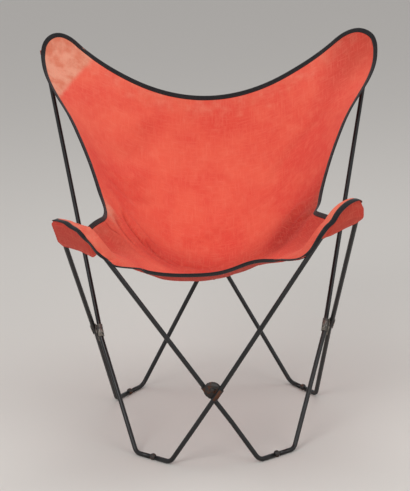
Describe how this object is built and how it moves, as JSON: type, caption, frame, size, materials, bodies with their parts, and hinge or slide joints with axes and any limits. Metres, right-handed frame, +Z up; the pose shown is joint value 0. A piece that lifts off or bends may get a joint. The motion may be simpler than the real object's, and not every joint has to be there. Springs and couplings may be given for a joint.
{
  "type": "butterfly sling chair",
  "caption": "Folding lounge chair: crossed bent steel rods with riveted clasp brackets and corner beads carry a coral canvas sling, black-bound, pocketed over the frame's ears.",
  "frame": {"origin": "centre of the bounding box at the floor", "axes": "+Z up, -Y towards the front of the seat, +X towards the right ear as seen from the front"},
  "size_m": [0.8482, 0.7538, 0.9061],
  "materials": {
    "rod_paint": "worn black enamel",
    "bare_steel": "worn bare stamped steel",
    "rusted_steel": "blackened steel with rust",
    "canvas": "faded coral cotton canvas",
    "binding_tape": "woven black cotton tape"
  },
  "bodies": {
    "front_pivot": {"front_bracket_rivet": "rusted_steel"},
    "front_left": {"front_rod_left_ear": "rod_paint", "front_bracket_back_leaf": "rusted_steel", "front_left_ear_rivet": "rod_paint", "front_left_pocket": "canvas"},
    "front_right": {"front_rod_right_ear": "rod_paint", "front_bracket_front_leaf": "rusted_steel", "front_right_ear_rivet": "rod_paint", "front_right_pocket": "canvas"},
    "left_front": {"left_rod_front_ear": "rod_paint", "left_bracket_outer_leaf": "bare_steel", "left_bracket_rivet": "bare_steel", "rear_left_foot_bead": "rusted_steel"},
    "right_front": {"right_rod_front_ear": "rod_paint", "right_bracket_outer_leaf": "bare_steel", "right_bracket_rivet": "bare_steel", "rear_right_foot_bead": "rusted_steel"},
    "left_rear": {"left_rod_rear_ear": "rod_paint", "left_bracket_inner_leaf": "bare_steel", "rear_left_ear_rivet": "rod_paint", "front_left_foot_bead": "rusted_steel", "rear_left_pocket": "canvas"},
    "right_rear": {"right_rod_rear_ear": "rod_paint", "right_bracket_inner_leaf": "bare_steel", "rear_right_ear_rivet": "rod_paint", "front_right_foot_bead": "rusted_steel", "rear_right_pocket": "canvas"},
    "rear_left": {"rear_rod_left_ear": "rod_paint"},
    "rear_right": {"rear_rod_right_ear": "rod_paint"},
    "rear_back_leaf": {"rear_bracket_back_leaf": "rusted_steel", "rear_bracket_rivet": "rusted_steel"},
    "rear_front_leaf": {"rear_bracket_front_leaf": "rusted_steel"},
    "sling_seat": {"sling_seat": "canvas", "seat_binding": "binding_tape"},
    "sling_back": {"sling_back": "canvas", "back_binding": "binding_tape"}
  },
  "joints": [
    {"name": "fold", "type": "hinge", "parent": "front_pivot", "child": "front_left", "pos_m": [0, -0.342, 0.184], "axis": [0, 0.9925, 0.1225], "range_deg": [0, 24], "deforming": ["sling_seat", "sling_back", "seat_binding", "back_binding", "front_left_pocket", "front_right_pocket", "rear_left_pocket", "rear_right_pocket"]},
    {"name": "fold_right", "type": "hinge", "parent": "front_pivot", "child": "front_right", "pos_m": [0, -0.342, 0.184], "axis": [0, -0.9925, -0.1225], "range_deg": [0, 24.1]},
    {"name": "front_ear_left", "type": "hinge", "parent": "front_left", "child": "left_front", "pos_m": [-0.298, -0.332, 0.567], "axis": [-0.6091, -0.555, -0.5666], "range_deg": [0, 22.76]},
    {"name": "side_pivot_left", "type": "hinge", "parent": "left_front", "child": "left_rear", "pos_m": [-0.273, -0.092, 0.244], "axis": [0.9776, 0.006, 0.2106], "range_deg": [0, 40.63]},
    {"name": "rear_ear_left", "type": "hinge", "parent": "left_rear", "child": "rear_left", "pos_m": [-0.375, 0.339, 0.861], "axis": [-0.6769, 0.6265, 0.3864], "range_deg": [0, 27.12]},
    {"name": "rear_clasp_left", "type": "hinge", "parent": "rear_left", "child": "rear_back_leaf", "pos_m": [0.02563, 0.2453, 0.29873], "axis": [0.5198, -0.1645, -0.8383], "range_deg": [0, 16.26]},
    {"name": "front_ear_right", "type": "hinge", "parent": "front_right", "child": "right_front", "pos_m": [0.298, -0.332, 0.567], "axis": [-0.6091, 0.555, 0.5666], "range_deg": [0, 22.76]},
    {"name": "side_pivot_right", "type": "hinge", "parent": "right_front", "child": "right_rear", "pos_m": [0.273, -0.092, 0.244], "axis": [0.9776, -0.006, -0.2106], "range_deg": [0, 40.63]},
    {"name": "rear_ear_right", "type": "hinge", "parent": "right_rear", "child": "rear_right", "pos_m": [0.375, 0.339, 0.861], "axis": [-0.6769, -0.6265, -0.3864], "range_deg": [0, 27.12]},
    {"name": "rear_clasp_right", "type": "hinge", "parent": "rear_right", "child": "rear_front_leaf", "pos_m": [-0.02563, 0.2293, 0.30187], "axis": [0.5198, 0.1645, 0.8383], "range_deg": [0, 16.26]},
    {"name": "seat_lift", "type": "slide", "parent": "front_pivot", "child": "sling_seat", "axis": [0, 0, 1], "range_m": [0, 0.1105]},
    {"name": "back_fold", "type": "hinge", "parent": "sling_seat", "child": "sling_back", "pos_m": [0, 0.13, 0.392], "axis": [1, 0, 0], "range_deg": [0, 43.2]}
  ],
  "couplings": [
    {"joint": "fold_right", "follows": "fold", "ratio": 1},
    {"joint": "front_ear_left", "follows": "fold", "ratio": 0.94414},
    {"joint": "side_pivot_left", "follows": "fold", "ratio": 1.6887},
    {"joint": "rear_ear_left", "follows": "fold", "ratio": 1.1258},
    {"joint": "rear_clasp_left", "follows": "fold", "ratio": 0.67333},
    {"joint": "front_ear_right", "follows": "fold", "ratio": 0.94414},
    {"joint": "side_pivot_right", "follows": "fold", "ratio": 1.6887},
    {"joint": "rear_ear_right", "follows": "fold", "ratio": 1.1258},
    {"joint": "rear_clasp_right", "follows": "fold", "ratio": 0.67333},
    {"joint": "seat_lift", "follows": "fold", "m_per_rad": 0.26261},
    {"joint": "back_fold", "follows": "fold", "ratio": 1.7958}
  ]
}
